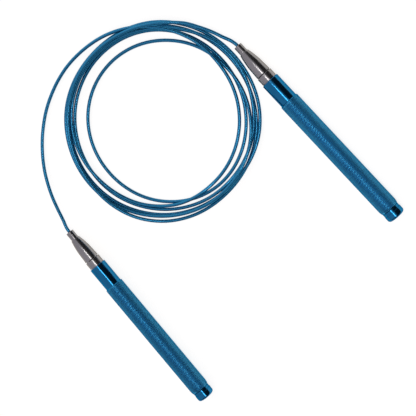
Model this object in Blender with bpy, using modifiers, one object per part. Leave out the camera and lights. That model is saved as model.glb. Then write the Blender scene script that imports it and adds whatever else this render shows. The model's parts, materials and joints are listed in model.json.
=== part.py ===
"""Jump rope: a coiled, coated steel cable with a ball-bearing handle on each end.

Metres, +Z up. The origin lies on the floor under the middle of the two handles. Along a handle,
local +Z runs from the front face of the small tip to the end cap, and z = 0 is that front face.
"""
import math

import bmesh
import bpy
import numpy as np
from mathutils import Matrix

# Clearances
SEAT_GAP = 0.00015
SLIDE_GAP = 0.0002
BALL_GAP = 0.0001
SPIN_GAP = 0.0003
NOSE_SPIN_GAP = 0.0006
SEAM = 0.0003
JOIN_GAP = 0.0003

# Cable, its tail inside the handle and the crimped ferrule on the tail
CABLE_DIA = 0.0025
CABLE_SLACK = 0.00025
TAIL_LENGTH = 0.1200
FERRULE_WALL = 0.0005
FERRULE_LENGTH = 0.0060
FERRULE_SETBACK = 0.0020
CRIMP_DEPTH = 0.0002
CRIMP_LENGTH = 0.0030

# Release plunger and lock balls
PLUNGER_REACH = 0.0067
PLUNGER_CHAMFER = 0.0003
LOCK_BALL_DIA = 0.0020
LOCK_BALLS = 3
BALL_PROUD = 0.0003
WINDOW_MARGIN = 0.0008
FLANGE_STEP = 0.00055
FLANGE_THICKNESS = 0.0008

# Lock spring
SPRING_LENGTH = 0.0060
SPRING_WIRE = 0.0005
SPRING_TURNS = 4.5
SPRING_POINTS = 10
SPRING_INSET = 0.0001

# Nose cone
NOSE_LIP = 0.0003
NOSE_LAND = 0.0040
TAPER_ANGLE = 9.0
TAPER_LENGTH = 0.0062
NOSE_CONE_LENGTH = 0.0104
NOSE_BULGE = 0.0002
NOSE_WALL = 0.00107
NOSE_BARREL_LENGTH = 0.0096
NOSE_FLARE = 0.00045
NOSE_CHAMFER = 0.0002

# Spindle and its nut
SHAFT_WALL = 0.00085
COLLAR_STEP = 0.0006
SHAFT_CHAMFER = 0.0002
SPINDLE_STUB = 0.0006
NUT_WALL = 0.0009
NUT_THICKNESS = 0.0025

# Ball bearings and the spacers between them
RACE_WALL = 0.00035
BEARING_BALL_DIA = 0.0010
BEARING_BALLS = 7
BEARING_PLAY = 0.00015
BEARING_WIDTH = 0.0030
SHOULDER_GAP = 0.00035
CAGE_THICKNESS = 0.00024
CAGE_WIDTH = 0.0008
SPACER_LENGTH = 0.0045
SPACER_WALL = 0.0005

# Bearing carrier and its circlip
CARRIER_WALL = 0.00095
CARRIER_LIP = 0.0010
CARRIER_TAIL = 0.0010
RING_LENGTH = 0.0057
RING_STEP = 0.00045
RING_CHAMFER = 0.0002
CIRCLIP_THICKNESS = 0.0006
CIRCLIP_WIDTH = 0.00075
CIRCLIP_MOUTH = 0.0030
CIRCLIP_GROOVE = 0.00045

# Grip tube with its smooth neck
NECK_LENGTH = 0.0194
NECK_WALL = 0.00105
NECK_CHAMFER = 0.0004
GRIP_LENGTH = 0.1048
GRIP_STEP = 0.0007
GRIP_CHAMFER = 0.0006
GRIP_SHOULDER_LENGTH = 0.0036
GRIP_SHOULDER_DROP = 0.00055
BORE_STEP = 0.00055
REAR_STEP = 0.00045
REAR_BORE_RUN_OUT = 0.0015

# End cap and its O-ring
CAP_LENGTH = 0.0074
CAP_INSET = 0.0007
CAP_COLLAR_LENGTH = 0.0019
CAP_GROOVE_WIDTH = 0.0004
CAP_GROOVE_DEPTH = 0.00025
CAP_BEAD_STEP = 0.0002
CAP_ROUND_LENGTH = 0.0020
CAP_ROUND_DEPTH = 0.0018
CAP_SPIGOT_LENGTH = 0.0080
CAP_WALL = 0.0009
CAP_FLOOR = 0.0045
ORING_DIA = 0.0011
ORING_SETBACK = 0.0035

# Where the handles lie: front of the tip, and the heading of the axis in degrees from +X
HANDLE_A_TIP = (0.00614, 0.13511)
HANDLE_A_HEADING = -45.49
HANDLE_B_TIP = (-0.12404, -0.00805)
HANDLE_B_HEADING = -49.28

# Coil: its radius at each eighth of a turn, clockwise from its left-hand side
COIL_CENTRE = (-0.05254, 0.07773)
COIL_RADII = (
    0.0906, 0.0774, 0.0695, 0.0635, 0.0592, 0.0591, 0.0629, 0.0651,
    0.0684, 0.0679, 0.0689, 0.0732, 0.0701, 0.0665, 0.0657, 0.0668,
    0.0665, 0.0662, 0.0675, 0.0658, 0.0642, 0.0630, 0.0593, 0.0564,
    0.0562, 0.0570, 0.0599, 0.0648, 0.0687, 0.0690, 0.0704, 0.0733,
    0.0729, 0.0706, 0.0733, 0.0744, 0.0745, 0.0694, 0.0697, 0.0717,
    0.0710, 0.0690, 0.0705, 0.0712, 0.0718, 0.0714, 0.0745, 0.0719,
    0.0705, 0.0692, 0.0726, 0.0827,
)
RADII_PER_TURN = 8
FIRST_ANGLE = 180.0
COIL_START = 150.0
COIL_END = -2085.0
LOOP_POINTS = 24
# Passes round the coil, each counted from its lowest point, in the order that they lie from the floor up
PASS_ANGLE = 270.0
LAY_ORDER = (5, 4, 2, 1, 3, 0, 6)
LAY_GAP = 0.0005
LAY_SLOPE = 0.15
LAY_STEPS = 4
LAY_EASE = 0.3
LAY_SETTLED = 0.0000001
COIL_EXIT_LIFT = 0.0072

# Free leads: places along each, from the handle to the coil, with the height above lying flat
LEAD_A_ROUTE = (
    (0.0022, 0.1381, 0.0063),
    (-0.0049, 0.1413, 0.0066),
    (-0.0121, 0.1446, 0.0069),
    (-0.0214, 0.1478, 0.0071),
)
LEAD_B_ROUTE = (
    (-0.1261, -0.0052, 0.0062),
    (-0.1289, 0.0006, 0.0057),
    (-0.1336, 0.0093, 0.0047),
    (-0.1380, 0.0182, 0.0036),
    (-0.1414, 0.0273, 0.0026),
    (-0.1439, 0.0363, 0.0017),
    (-0.1454, 0.0454, 0.0009),
    (-0.1459, 0.0545, 0.0004),
    (-0.1456, 0.0634, 0.0001),
    (-0.1443, 0.0729, 0.0),
    (-0.1414, 0.0850, 0.0),
    (-0.1369, 0.0965, 0.0),
    (-0.1312, 0.1072, 0.0),
)
LEAD_STRAIGHT = 0.0010
LEAD_SPACING = 2.5

# Facets
SIDES_OUTER = 28
SIDES_INNER = 20
SIDES_BEARING = 16
SIDES_SMALL = 12
BALL_SIDES = 8
LOCK_BALL_RINGS = 6
BEARING_BALL_RINGS = 5
ROUND_STEPS = 4
MERGE = 0.00001

# Radii, from the cable outwards
CABLE_R = CABLE_DIA / 2
CABLE_BORE_R = CABLE_R + CABLE_SLACK
FERRULE_BORE_R = CABLE_R + SEAT_GAP
FERRULE_R = FERRULE_BORE_R + FERRULE_WALL
LOCK_BALL_R = LOCK_BALL_DIA / 2
LOCK_ORBIT = CABLE_R + BALL_GAP + LOCK_BALL_R
WINDOW_R = LOCK_BALL_R + BALL_GAP
PLUNGER_R = LOCK_ORBIT + LOCK_BALL_R - BALL_PROUD
FLANGE_R = PLUNGER_R + FLANGE_STEP
NOSE_BORE_R = PLUNGER_R + SLIDE_GAP
TAPER_SLOPE = math.tan(math.radians(TAPER_ANGLE))
CHAMBER_R = NOSE_BORE_R + TAPER_SLOPE * TAPER_LENGTH
NOSE_FRONT_R = NOSE_BORE_R + NOSE_LIP
NOSE_SHOULDER_R = CHAMBER_R + NOSE_WALL
NOSE_REAR_R = NOSE_SHOULDER_R + NOSE_FLARE
SPRING_R = FLANGE_R - SPRING_INSET - SPRING_WIRE / 2
HEAD_R = CHAMBER_R - SEAT_GAP
SHAFT_R = CABLE_BORE_R + SHAFT_WALL
COLLAR_R = SHAFT_R + COLLAR_STEP
RACE_BORE_R = SHAFT_R + SEAT_GAP
BEARING_BALL_R = BEARING_BALL_DIA / 2
GROOVE_R = BEARING_BALL_R + BEARING_PLAY
BEARING_ORBIT = RACE_BORE_R + RACE_WALL + GROOVE_R
BEARING_R = BEARING_ORBIT + GROOVE_R + RACE_WALL
CARRIER_BORE_R = BEARING_R + SEAT_GAP
CARRIER_LIP_R = COLLAR_R + SPIN_GAP
SPIGOT_R = CARRIER_BORE_R + CARRIER_WALL
RING_R = SPIGOT_R + RING_STEP
GROOVE_BOTTOM_R = CARRIER_BORE_R + CIRCLIP_GROOVE
CIRCLIP_R = GROOVE_BOTTOM_R - SEAT_GAP
COUNTERBORE_R = SPIGOT_R + SEAT_GAP
NECK_R = COUNTERBORE_R + NECK_WALL
GRIP_R = NECK_R + GRIP_STEP
GRIP_BORE_R = COUNTERBORE_R - BORE_STEP
REAR_BORE_R = GRIP_BORE_R + REAR_STEP
CAP_SPIGOT_R = REAR_BORE_R - SEAT_GAP
CAP_R = GRIP_R - CAP_INSET
ORING_ORBIT = REAR_BORE_R - BALL_GAP - ORING_DIA / 2
ORING_SEAT_R = ORING_ORBIT - ORING_DIA / 2 - SEAT_GAP
CAP_BORE_R = ORING_SEAT_R - CAP_WALL
AXIS_HEIGHT = GRIP_R

# Places along a handle, from the tip backwards
NOSE_FRONT = PLUNGER_REACH
TAPER_FRONT = NOSE_FRONT + NOSE_LAND
TAPER_REAR = TAPER_FRONT + TAPER_LENGTH
NOSE_SHOULDER = NOSE_FRONT + NOSE_CONE_LENGTH
NOSE_REAR = NOSE_SHOULDER + NOSE_BARREL_LENGTH
LOCK_REACH = WINDOW_R / math.cos(math.radians(TAPER_ANGLE))
LOCK_Z = TAPER_FRONT + (LOCK_ORBIT + LOCK_REACH - NOSE_BORE_R) / TAPER_SLOPE
FLANGE_FRONT = LOCK_Z + WINDOW_R + WINDOW_MARGIN
FLANGE_REAR = FLANGE_FRONT + FLANGE_THICKNESS
SPRING_FRONT = FLANGE_REAR + SEAT_GAP
SPRING_REAR = SPRING_FRONT + SPRING_LENGTH
HEAD_FRONT = SPRING_REAR + SEAT_GAP
RING_FRONT = NOSE_REAR + NOSE_SPIN_GAP
RING_REAR = RING_FRONT + RING_LENGTH
LIP_REAR = RING_FRONT + CARRIER_LIP
FRONT_BEARING = LIP_REAR + SEAT_GAP
SPACER_FRONT = FRONT_BEARING + BEARING_WIDTH + SEAT_GAP
SPACER_REAR = SPACER_FRONT + SPACER_LENGTH
REAR_BEARING = SPACER_REAR + SEAT_GAP
STACK_REAR = REAR_BEARING + BEARING_WIDTH
CIRCLIP_FRONT = STACK_REAR + SEAT_GAP
CIRCLIP_REAR = CIRCLIP_FRONT + CIRCLIP_THICKNESS
CARRIER_REAR = CIRCLIP_REAR + SEAT_GAP + CARRIER_TAIL
NUT_FRONT = STACK_REAR + SEAT_GAP
NUT_REAR = NUT_FRONT + NUT_THICKNESS
SPINDLE_REAR = NUT_REAR + SPINDLE_STUB
NECK_FRONT = RING_REAR + SEAM
COUNTERBORE_REAR = CARRIER_REAR + SEAT_GAP
GRIP_FRONT = NECK_FRONT + NECK_LENGTH
GRIP_REAR = GRIP_FRONT + GRIP_LENGTH
CAP_FRONT = GRIP_REAR + SEAM
CAP_REAR = CAP_FRONT + CAP_LENGTH
CAP_SPIGOT_FRONT = CAP_FRONT - CAP_SPIGOT_LENGTH
REAR_BORE_FRONT = CAP_SPIGOT_FRONT - REAR_BORE_RUN_OUT
CAP_BORE_REAR = CAP_REAR - CAP_FLOOR
ORING_Z = CAP_SPIGOT_FRONT + ORING_SETBACK
FERRULE_REAR = TAIL_LENGTH - FERRULE_SETBACK


def new_collection(name):
    """Empty collection in the scene, made anew."""
    old = bpy.data.collections.get(name)
    if old:
        bpy.data.collections.remove(old)
    collection = bpy.data.collections.new(name)
    bpy.context.scene.collection.children.link(collection)
    return collection


for leftover in list(bpy.data.objects):
    bpy.data.objects.remove(leftover)
PARTS = new_collection("jump_rope")
CUTTERS = new_collection("jump_rope_cutters")


def finish(name, colour, roughness, metallic):
    """Principled material."""
    material = bpy.data.materials.new(name)
    material.use_nodes = True
    shader = material.node_tree.nodes["Principled BSDF"]
    shader.inputs["Base Color"].default_value = (*colour, 1.0)
    shader.inputs["Roughness"].default_value = roughness
    shader.inputs["Metallic"].default_value = metallic
    return material


BRIGHT_STEEL = finish("bright_steel", (0.56, 0.54, 0.53), 0.22, 1.0)
BEARING_STEEL = finish("bearing_steel", (0.62, 0.62, 0.64), 0.15, 1.0)
SPRING_STEEL = finish("spring_steel", (0.40, 0.40, 0.42), 0.30, 1.0)
CAGE_BRASS = finish("cage_brass", (0.70, 0.52, 0.20), 0.35, 1.0)
BLUE_ALUMINIUM = finish("blue_anodised_aluminium", (0.012, 0.13, 0.34), 0.30, 1.0)
BLUE_COATING = finish("blue_cable_coating", (0.010, 0.13, 0.32), 0.35, 0.0)
CRIMP_ALUMINIUM = finish("crimp_aluminium", (0.70, 0.70, 0.72), 0.40, 1.0)
BLACK_RUBBER = finish("black_rubber", (0.02, 0.02, 0.02), 0.70, 0.0)


def add(name, data, material, parent=None):
    """Visible piece, carried by its parent where it has one."""
    data.materials.append(material)
    piece = bpy.data.objects.new(name, data)
    piece.parent = parent
    PARTS.objects.link(piece)
    return piece


def add_cutter(name, form, parent):
    """Hidden shape that cuts or joins a piece."""
    data = bpy.data.meshes.new(name)
    form.to_mesh(data)
    form.free()
    cutter = bpy.data.objects.new(name, data)
    cutter.parent = parent
    cutter.hide_render = True
    cutter.display_type = "WIRE"
    CUTTERS.objects.link(cutter)
    return cutter


def combine(piece, cutter, operation):
    """Boolean of a piece with a hidden shape."""
    modifier = piece.modifiers.new(operation.lower(), "BOOLEAN")
    modifier.operation = operation
    modifier.object = cutter


def turned(name, outline, material, parent, sides):
    """Solid turned about the local Z axis, from its (radius, z) corners."""
    following = outline[1:] + outline[:1]
    area = sum(a[0] * b[1] - b[0] * a[1] for a, b in zip(outline, following))
    if area > 0:
        outline = outline[::-1]
    last = len(outline) - 1
    edges = [(i, i + 1) for i in range(last)]
    if outline[0][0] > 0:
        edges.append((last, 0))
    data = bpy.data.meshes.new(name)
    data.from_pydata([(radius, 0.0, z) for radius, z in outline], edges, [])
    piece = add(name, data, material, parent)
    screw = piece.modifiers.new("turn", "SCREW")
    screw.axis = "Z"
    screw.steps = sides
    screw.render_steps = sides
    screw.use_merge_vertices = True
    screw.merge_threshold = MERGE
    screw.use_smooth_shade = True
    return piece


def sleeve(name, inner, outer, front, rear, material, parent, sides):
    """Plain turned ring or tube."""
    outline = [(inner, front), (outer, front), (outer, rear), (inner, rear)]
    return turned(name, outline, material, parent, sides)


def tube(name, points, radius, resolution, material, parent=None):
    """Round wire or cable along a run of points."""
    data = bpy.data.curves.new(name, "CURVE")
    data.dimensions = "3D"
    data.bevel_depth = radius
    data.bevel_resolution = resolution
    data.use_fill_caps = True
    spline = data.splines.new("POLY")
    spline.points.add(len(points) - 1)
    for point, place in zip(spline.points, points):
        point.co = (*place, 1.0)
    return add(name, data, material, parent)


def arc(radius, z, size, first, last, steps):
    """Corners along a circular arc about (radius, z), angles in degrees from the radius."""
    turns = [math.radians(first + (last - first) * k / steps) for k in range(steps + 1)]
    return [(radius + size * math.cos(t), z + size * math.sin(t)) for t in turns]


def place_on_circle(count, orbit, z):
    """Matrices that carry local +X outwards to places evenly round the axis."""
    steps = [Matrix.Rotation(2 * math.pi * k / count, 4, "Z") for k in range(count)]
    return [step @ Matrix.Translation((orbit, 0.0, z)) for step in steps]


# Cable lock


def release_plunger(side, axis):
    """Tube whose end is the small tip, with a window for each ball and a flange for the spring."""
    outline = [
        (CABLE_BORE_R, 0.0),
        (PLUNGER_R - PLUNGER_CHAMFER, 0.0),
        (PLUNGER_R, PLUNGER_CHAMFER),
        (PLUNGER_R, FLANGE_FRONT),
        (FLANGE_R, FLANGE_FRONT),
        (FLANGE_R, FLANGE_REAR),
        (CABLE_BORE_R, FLANGE_REAR),
    ]
    plunger = turned(f"release_plunger_{side}", outline, BRIGHT_STEEL, axis, SIDES_INNER)
    inner = WINDOW_R / math.tan(math.pi / LOCK_BALLS)
    outer = FLANGE_R
    windows = bmesh.new()
    for place in place_on_circle(LOCK_BALLS, (inner + outer) / 2, LOCK_Z):
        bmesh.ops.create_cone(
            windows,
            cap_ends=True,
            segments=SIDES_SMALL,
            radius1=WINDOW_R,
            radius2=WINDOW_R,
            depth=outer - inner,
            matrix=place @ Matrix.Rotation(math.pi / 2, 4, "Y"),
        )
    combine(plunger, add_cutter(f"windows_{side}", windows, axis), "DIFFERENCE")


def lock_balls(side, axis):
    """Balls that the taper presses on the cable."""
    for number, place in enumerate(place_on_circle(LOCK_BALLS, LOCK_ORBIT, LOCK_Z), 1):
        form = bmesh.new()
        size = {"u_segments": BALL_SIDES, "v_segments": LOCK_BALL_RINGS, "radius": LOCK_BALL_R}
        bmesh.ops.create_uvsphere(form, matrix=place, **size)
        name = f"lock_ball_{number}_{side}"
        data = bpy.data.meshes.new(name)
        form.to_mesh(data)
        form.free()
        data.shade_smooth()
        add(name, data, BEARING_STEEL, axis)


def lock_spring(side, axis):
    """Coil spring between the plunger's flange and the spindle's head."""
    steps = round(SPRING_TURNS * SPRING_POINTS)
    first = SPRING_FRONT + SPRING_WIRE / 2
    rise = SPRING_LENGTH - SPRING_WIRE
    points = []
    for k in range(steps + 1):
        turn = 2 * math.pi * SPRING_TURNS * k / steps
        points.append((SPRING_R * math.cos(turn), SPRING_R * math.sin(turn), first + rise * k / steps))
    tube(f"lock_spring_{side}", points, SPRING_WIRE / 2, 1, SPRING_STEEL, axis)


def nose_cone(side, axis):
    """Body of the lock: a bulging cone and a flared barrel over a bore that opens backwards."""
    outline = [(NOSE_BORE_R, NOSE_FRONT)]
    for k in range(ROUND_STEPS + 1):
        t = k / ROUND_STEPS
        radius = NOSE_FRONT_R + (NOSE_SHOULDER_R - NOSE_FRONT_R) * t + 4 * NOSE_BULGE * t * (1 - t)
        outline.append((radius, NOSE_FRONT + NOSE_CONE_LENGTH * t))
    outline += [
        (NOSE_REAR_R, NOSE_REAR - NOSE_CHAMFER),
        (NOSE_REAR_R - NOSE_CHAMFER, NOSE_REAR),
        (CHAMBER_R, NOSE_REAR),
        (CHAMBER_R, TAPER_REAR),
        (NOSE_BORE_R, TAPER_FRONT),
    ]
    turned(f"nose_cone_{side}", outline, BRIGHT_STEEL, axis, SIDES_OUTER)


# Spindle side of the bearings


def spindle(side, axis):
    """Hollow shaft with a head that closes the nose and a collar for the front race."""
    outline = [
        (CABLE_BORE_R, HEAD_FRONT),
        (HEAD_R, HEAD_FRONT),
        (HEAD_R, NOSE_REAR),
        (COLLAR_R, NOSE_REAR),
        (COLLAR_R, LIP_REAR),
        (SHAFT_R, LIP_REAR),
        (SHAFT_R, SPINDLE_REAR - SHAFT_CHAMFER),
        (SHAFT_R - SHAFT_CHAMFER, SPINDLE_REAR),
        (CABLE_BORE_R, SPINDLE_REAR),
    ]
    turned(f"spindle_{side}", outline, BRIGHT_STEEL, axis, SIDES_INNER)


def spindle_nut(side, axis):
    """Hexagon nut that holds the inner races on the shaft."""
    corner = (RACE_BORE_R + NUT_WALL) / math.cos(math.pi / 6)
    middle = Matrix.Translation((0.0, 0.0, (NUT_FRONT + NUT_REAR) / 2))
    solid = {"cap_ends": True, "matrix": middle}
    form = bmesh.new()
    bmesh.ops.create_cone(form, segments=6, radius1=corner, radius2=corner, depth=NUT_THICKNESS, **solid)
    name = f"spindle_nut_{side}"
    data = bpy.data.meshes.new(name)
    form.to_mesh(data)
    form.free()
    nut = add(name, data, BRIGHT_STEEL, axis)
    hole = bmesh.new()
    size = {"radius1": RACE_BORE_R, "radius2": RACE_BORE_R, "depth": 2 * NUT_THICKNESS}
    bmesh.ops.create_cone(hole, segments=SIDES_SMALL, **size, **solid)
    combine(nut, add_cutter(f"nut_hole_{side}", hole, axis), "DIFFERENCE")


def cable_tail(side, axis):
    """End of the cable inside the handle, with its crimped ferrule."""
    front = JOIN_GAP / 2
    outline = [(0.0, front), (CABLE_R, front), (CABLE_R, TAIL_LENGTH), (0.0, TAIL_LENGTH)]
    turned(f"cable_tail_{side}", outline, BLUE_COATING, axis, SIDES_SMALL)
    ferrule_front = FERRULE_REAR - FERRULE_LENGTH
    middle = FERRULE_REAR - FERRULE_LENGTH / 2
    waist = FERRULE_R - CRIMP_DEPTH
    outline = [
        (FERRULE_BORE_R, ferrule_front),
        (FERRULE_R, ferrule_front),
        (FERRULE_R, middle - CRIMP_LENGTH / 2 - CRIMP_DEPTH),
        (waist, middle - CRIMP_LENGTH / 2),
        (waist, middle + CRIMP_LENGTH / 2),
        (FERRULE_R, middle + CRIMP_LENGTH / 2 + CRIMP_DEPTH),
        (FERRULE_R, FERRULE_REAR),
        (FERRULE_BORE_R, FERRULE_REAR),
    ]
    turned(f"tail_ferrule_{side}", outline, CRIMP_ALUMINIUM, axis, SIDES_SMALL)


# Ball bearings


def race(name, back, shoulder, bottom, front, axis):
    """Race with a round groove, whose bottom is at 0 degrees in an outer race and at 180 in an inner one."""
    middle = front + BEARING_WIDTH / 2
    rear = front + BEARING_WIDTH
    spread = math.degrees(math.acos(SHOULDER_GAP / GROOVE_R))
    groove = arc(BEARING_ORBIT, middle, GROOVE_R, bottom - spread, bottom + spread, ROUND_STEPS)
    groove.sort(key=lambda corner: corner[1])
    outline = [(back, front), (shoulder, front), *groove, (shoulder, rear), (back, rear)]
    turned(name, outline, BEARING_STEEL, axis, SIDES_BEARING)


def ball_cage(name, front, axis):
    """Balls held in a thin ring."""
    middle = front + BEARING_WIDTH / 2
    half = CAGE_WIDTH / 2
    inner = BEARING_ORBIT - CAGE_THICKNESS / 2
    outer = BEARING_ORBIT + CAGE_THICKNESS / 2
    sides = 2 * BEARING_BALLS
    cage = sleeve(name, inner, outer, middle - half, middle + half, CAGE_BRASS, axis, sides)
    balls = bmesh.new()
    size = {"u_segments": BALL_SIDES, "v_segments": BEARING_BALL_RINGS, "radius": BEARING_BALL_R}
    for place in place_on_circle(BEARING_BALLS, BEARING_ORBIT, middle):
        bmesh.ops.create_uvsphere(balls, matrix=place, **size)
    combine(cage, add_cutter(f"{name}_balls", balls, axis), "UNION")


def bearings(side, axis):
    """Two ball bearings with a spacer between the races."""
    inner_shoulder = BEARING_ORBIT - SHOULDER_GAP
    outer_shoulder = BEARING_ORBIT + SHOULDER_GAP
    for end, front in (("front", FRONT_BEARING), ("rear", REAR_BEARING)):
        race(f"{end}_inner_race_{side}", RACE_BORE_R, inner_shoulder, 180.0, front, axis)
        race(f"{end}_outer_race_{side}", BEARING_R, outer_shoulder, 0.0, front, axis)
        ball_cage(f"{end}_ball_cage_{side}", front, axis)
    span = (SPACER_FRONT, SPACER_REAR, BRIGHT_STEEL, axis, SIDES_BEARING)
    sleeve(f"inner_spacer_{side}", RACE_BORE_R, RACE_BORE_R + SPACER_WALL, *span)
    sleeve(f"outer_spacer_{side}", BEARING_R - SPACER_WALL, BEARING_R, *span)


# Handle side of the bearings


def bearing_carrier(side, axis):
    """Sleeve round the bearings, whose front is the steel ring behind the nose."""
    groove_front = CIRCLIP_FRONT - SEAT_GAP / 2
    groove_rear = CIRCLIP_REAR + SEAT_GAP / 2
    outline = [
        (CARRIER_LIP_R, RING_FRONT),
        (RING_R - RING_CHAMFER, RING_FRONT),
        (RING_R, RING_FRONT + RING_CHAMFER),
        (RING_R, RING_REAR),
        (SPIGOT_R, RING_REAR),
        (SPIGOT_R, CARRIER_REAR),
        (CARRIER_BORE_R, CARRIER_REAR),
        (CARRIER_BORE_R, groove_rear),
        (GROOVE_BOTTOM_R, groove_rear),
        (GROOVE_BOTTOM_R, groove_front),
        (CARRIER_BORE_R, groove_front),
        (CARRIER_BORE_R, LIP_REAR),
        (CARRIER_LIP_R, LIP_REAR),
    ]
    turned(f"bearing_carrier_{side}", outline, BRIGHT_STEEL, axis, SIDES_OUTER)


def bearing_circlip(side, axis):
    """Split ring in the carrier's groove, behind the rear bearing."""
    inner = CIRCLIP_R - CIRCLIP_WIDTH
    span = (CIRCLIP_FRONT, CIRCLIP_REAR, SPRING_STEEL, axis, SIDES_INNER)
    clip = sleeve(f"bearing_circlip_{side}", inner, CIRCLIP_R, *span)
    middle = Matrix.Translation((0.0, CIRCLIP_R, (CIRCLIP_FRONT + CIRCLIP_REAR) / 2))
    size = Matrix.Diagonal((CIRCLIP_MOUTH, 3 * CIRCLIP_WIDTH, 3 * CIRCLIP_THICKNESS, 1.0))
    mouth = bmesh.new()
    bmesh.ops.create_cube(mouth, size=1.0, matrix=middle @ size)
    combine(clip, add_cutter(f"circlip_mouth_{side}", mouth, axis), "DIFFERENCE")


def grip_tube(side, axis):
    """Grip with a smooth neck in front, counterbored for the carrier and for the end cap."""
    outline = [
        (COUNTERBORE_R, NECK_FRONT),
        (NECK_R - NECK_CHAMFER, NECK_FRONT),
        (NECK_R, NECK_FRONT + NECK_CHAMFER),
        (NECK_R, GRIP_FRONT),
        (GRIP_R, GRIP_FRONT + GRIP_CHAMFER),
    ]
    for k in range(ROUND_STEPS + 1):
        t = k / ROUND_STEPS
        drop = GRIP_SHOULDER_DROP * t * t
        outline.append((GRIP_R - drop, GRIP_REAR - GRIP_SHOULDER_LENGTH * (1 - t)))
    outline += [
        (REAR_BORE_R, GRIP_REAR),
        (REAR_BORE_R, REAR_BORE_FRONT),
        (GRIP_BORE_R, REAR_BORE_FRONT),
        (GRIP_BORE_R, COUNTERBORE_REAR),
        (COUNTERBORE_R, COUNTERBORE_REAR),
    ]
    turned(f"grip_tube_{side}", outline, BLUE_ALUMINIUM, axis, SIDES_OUTER)


def end_cap(side, axis):
    """Round-edged plug with a flat end face, a beaded head and a hollow spigot."""
    bead_r = CAP_R + CAP_BEAD_STEP
    groove_front = CAP_FRONT + CAP_COLLAR_LENGTH
    groove_rear = groove_front + CAP_GROOVE_WIDTH
    outline = [(0.0, CAP_REAR)]
    for k in range(ROUND_STEPS + 1):
        turn = math.pi / 2 * k / ROUND_STEPS
        radius = bead_r - CAP_ROUND_DEPTH * (1 - math.sin(turn))
        outline.append((radius, CAP_REAR - CAP_ROUND_LENGTH * (1 - math.cos(turn))))
    outline += [
        (bead_r, groove_rear),
        (CAP_R - CAP_GROOVE_DEPTH, groove_rear),
        (CAP_R - CAP_GROOVE_DEPTH, groove_front),
        (CAP_R, groove_front),
        (CAP_R, CAP_FRONT),
        (CAP_SPIGOT_R, CAP_FRONT),
        (CAP_SPIGOT_R, ORING_Z + ORING_DIA / 2 + SEAT_GAP),
        (ORING_SEAT_R, ORING_Z + ORING_DIA / 2 + SEAT_GAP),
        (ORING_SEAT_R, ORING_Z - ORING_DIA / 2 - SEAT_GAP),
        (CAP_SPIGOT_R, ORING_Z - ORING_DIA / 2 - SEAT_GAP),
        (CAP_SPIGOT_R, CAP_SPIGOT_FRONT),
        (CAP_BORE_R, CAP_SPIGOT_FRONT),
        (CAP_BORE_R, CAP_BORE_REAR),
        (0.0, CAP_BORE_REAR),
    ]
    turned(f"end_cap_{side}", outline, BLUE_ALUMINIUM, axis, SIDES_OUTER)
    section = arc(ORING_ORBIT, ORING_Z, ORING_DIA / 2, 0.0, 360.0, 8)[:-1]
    turned(f"end_cap_oring_{side}", section, BLACK_RUBBER, axis, SIDES_INNER)


def handle(side, tip, heading):
    """One handle, with every piece carried by an empty on its spin axis."""
    axis = bpy.data.objects.new(f"handle_{side}_axis", None)
    axis.location = (*tip, AXIS_HEIGHT)
    axis.rotation_euler = (0.0, math.pi / 2, math.radians(heading))
    PARTS.objects.link(axis)
    release_plunger(side, axis)
    lock_balls(side, axis)
    lock_spring(side, axis)
    nose_cone(side, axis)
    spindle(side, axis)
    spindle_nut(side, axis)
    cable_tail(side, axis)
    bearings(side, axis)
    bearing_carrier(side, axis)
    bearing_circlip(side, axis)
    grip_tube(side, axis)
    end_cap(side, axis)


# Cable route


def smooth_curve(places, knots, at):
    """Values at the given knots of a smooth curve through the places."""
    places = np.asarray(places, dtype=float)
    slopes = np.gradient(places, knots, axis=0)
    left = np.clip(np.searchsorted(knots, at, side="right") - 1, 0, len(knots) - 2)
    span = knots[left + 1] - knots[left]
    u = (at - knots[left]) / span
    if places.ndim > 1:
        span = span[:, None]
        u = u[:, None]
    start = places[left] * (1 + 2 * u) * (1 - u) ** 2 + slopes[left] * span * u * (1 - u) ** 2
    end = places[left + 1] * u * u * (3 - 2 * u) - slopes[left + 1] * span * u * u * (1 - u)
    return start + end


def lengths_along(points):
    """Distance along a run of points, at each point."""
    return np.concatenate([[0.0], np.cumsum(np.linalg.norm(np.diff(points, axis=0), axis=1))])


def split_runs(points):
    """Short steps along each straight run: the run, the share of it, and the place."""
    run = np.repeat(np.arange(len(points) - 1), LAY_STEPS)
    share = np.tile(np.arange(LAY_STEPS) / LAY_STEPS, len(points) - 1)
    return run, share, points[run] + (points[run + 1] - points[run]) * share[:, None]


def coil_plan():
    """Angles and floor places of the coil's points, going clockwise."""
    count = round((COIL_START - COIL_END) / 360.0 * LOOP_POINTS)
    angles = COIL_START - 360.0 / LOOP_POINTS * np.arange(count + 1)
    eighths = (FIRST_ANGLE - angles) / 360.0 * RADII_PER_TURN
    radii = smooth_curve(COIL_RADII, np.arange(len(COIL_RADII)), eighths)
    turns = np.radians(angles)
    return angles, np.stack([np.cos(turns), np.sin(turns)], axis=1) * radii[:, None] + COIL_CENTRE


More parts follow.
